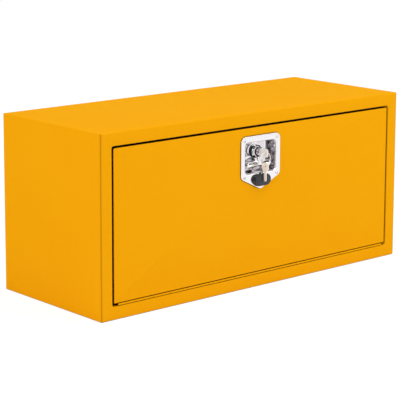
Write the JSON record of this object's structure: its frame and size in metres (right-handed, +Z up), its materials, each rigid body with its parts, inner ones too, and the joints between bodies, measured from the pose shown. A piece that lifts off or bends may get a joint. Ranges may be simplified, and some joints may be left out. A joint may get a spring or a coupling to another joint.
{
  "type": "underbody truck toolbox",
  "caption": "Sheet-steel underbody truck toolbox with an inset drop-down door on a continuous hinge, folding stays and a folding T-handle latch with keys.",
  "frame": {"origin": "centre of the base, on the surface that the box stands on", "axes": "+X to the right seen from the front, the door faces -Y, +Z up"},
  "size_m": [0.9144, 0.3834, 0.4064],
  "materials": {
    "amber_powder_coat": "smooth satin powder coat",
    "polished_stainless": "polished stainless steel",
    "cast_chrome": "bright chrome plate on a casting",
    "zinc_plated": "zinc plated steel",
    "nickel_key": "nickel plated brass",
    "black_rubber": "moulded black rubber"
  },
  "bodies": {
    "cabinet": {"top_panel": "amber_powder_coat", "bottom_panel": "amber_powder_coat", "back_panel": "amber_powder_coat", "left_end_panel": "amber_powder_coat", "right_end_panel": "amber_powder_coat", "front_frame": "amber_powder_coat", "door_seal": "black_rubber", "latch_strike": "amber_powder_coat", "hinge_frame_leaf": "amber_powder_coat", "hinge_pin": "zinc_plated", "hinge_frame_rivets": "zinc_plated", "left_stay_frame_bracket": "zinc_plated", "right_stay_frame_bracket": "zinc_plated"},
    "door": {"door_skin": "amber_powder_coat", "left_door_stiffener": "amber_powder_coat", "right_door_stiffener": "amber_powder_coat", "hinge_door_leaf": "amber_powder_coat", "hinge_door_rivets": "zinc_plated", "left_stay_door_bracket": "zinc_plated", "right_stay_door_bracket": "zinc_plated", "latch_plate": "polished_stainless", "latch_plate_gasket": "black_rubber", "latch_plate_screws": "polished_stainless", "spindle_housing": "zinc_plated", "housing_nut": "zinc_plated", "cap_rivet": "polished_stainless"},
    "left_frame_bar": {"left_stay_frame_bar": "zinc_plated"},
    "right_frame_bar": {"right_stay_frame_bar": "zinc_plated"},
    "left_door_bar": {"left_stay_door_bar": "zinc_plated"},
    "right_door_bar": {"right_stay_door_bar": "zinc_plated"},
    "spindle": {"latch_spindle": "cast_chrome", "spindle_clip": "zinc_plated", "latch_cam": "zinc_plated", "cam_washer": "zinc_plated", "cam_nut": "zinc_plated", "handle_trunnions": "zinc_plated"},
    "handle": {"t_handle": "cast_chrome", "lock_cylinder": "cast_chrome", "lock_seal": "black_rubber"},
    "plug": {"lock_plug": "cast_chrome", "inserted_key": "nickel_key"},
    "ring": {"key_ring": "nickel_key"},
    "spare": {"spare_key": "nickel_key"},
    "cap": {"dust_cap": "black_rubber"}
  },
  "joints": [
    {"name": "door_hinge", "type": "hinge", "parent": "cabinet", "child": "door", "pos_m": [0, -0.1749, 0.0328], "axis": [1, 0, 0], "range_deg": [0, 90]},
    {"name": "left_frame_bar_pivot", "type": "hinge", "parent": "cabinet", "child": "left_frame_bar", "pos_m": [-0.4066, -0.1089, 0.1288], "axis": [1, 0, 0], "range_deg": [0, 114]},
    {"name": "right_frame_bar_pivot", "type": "hinge", "parent": "cabinet", "child": "right_frame_bar", "pos_m": [0.4066, -0.1089, 0.1288], "axis": [1, 0, 0], "range_deg": [0, 114]},
    {"name": "left_door_bar_pivot", "type": "hinge", "parent": "door", "child": "left_door_bar", "pos_m": [-0.4036, -0.1469, 0.1978], "axis": [1, 0, 0], "range_deg": [-115, 0]},
    {"name": "right_door_bar_pivot", "type": "hinge", "parent": "door", "child": "right_door_bar", "pos_m": [0.4036, -0.1469, 0.1978], "axis": [1, 0, 0], "range_deg": [-115, 0]},
    {"name": "handle_turn", "type": "hinge", "parent": "door", "child": "spindle", "pos_m": [0, -0.1778, 0.3135], "axis": [0, 1, 0], "range_deg": [0, 90]},
    {"name": "handle_fold", "type": "hinge", "parent": "spindle", "child": "handle", "pos_m": [0, -0.1668, 0.3135], "axis": [-1, 0, 0], "range_deg": [0, 90]},
    {"name": "key_turn", "type": "hinge", "parent": "handle", "child": "plug", "pos_m": [0, -0.1778, 0.3135], "axis": [0, 1, 0], "range_deg": [-90, 0]},
    {"name": "ring_swing", "type": "hinge", "parent": "plug", "child": "ring", "pos_m": [0, -0.1948, 0.3151], "axis": [1, 0, 0], "range_deg": [-60, 0]},
    {"name": "spare_key_swing", "type": "hinge", "parent": "ring", "child": "spare", "pos_m": [0, -0.1948, 0.2847], "axis": [1, 0, 0], "range_deg": [-60, 0]},
    {"name": "cap_swing", "type": "hinge", "parent": "door", "child": "cap", "pos_m": [0, -0.1808, 0.2649], "axis": [0, 1, 0], "range_deg": [-30, 30]}
  ],
  "couplings": [
    {"joint": "left_frame_bar_pivot", "follows": "door_hinge", "ratio": 1.2557},
    {"joint": "right_frame_bar_pivot", "follows": "door_hinge", "ratio": 1.2557},
    {"joint": "left_door_bar_pivot", "follows": "door_hinge", "ratio": -1.2679},
    {"joint": "right_door_bar_pivot", "follows": "door_hinge", "ratio": -1.2679},
    {"joint": "handle_turn", "follows": "handle_fold", "ratio": 1}
  ]
}
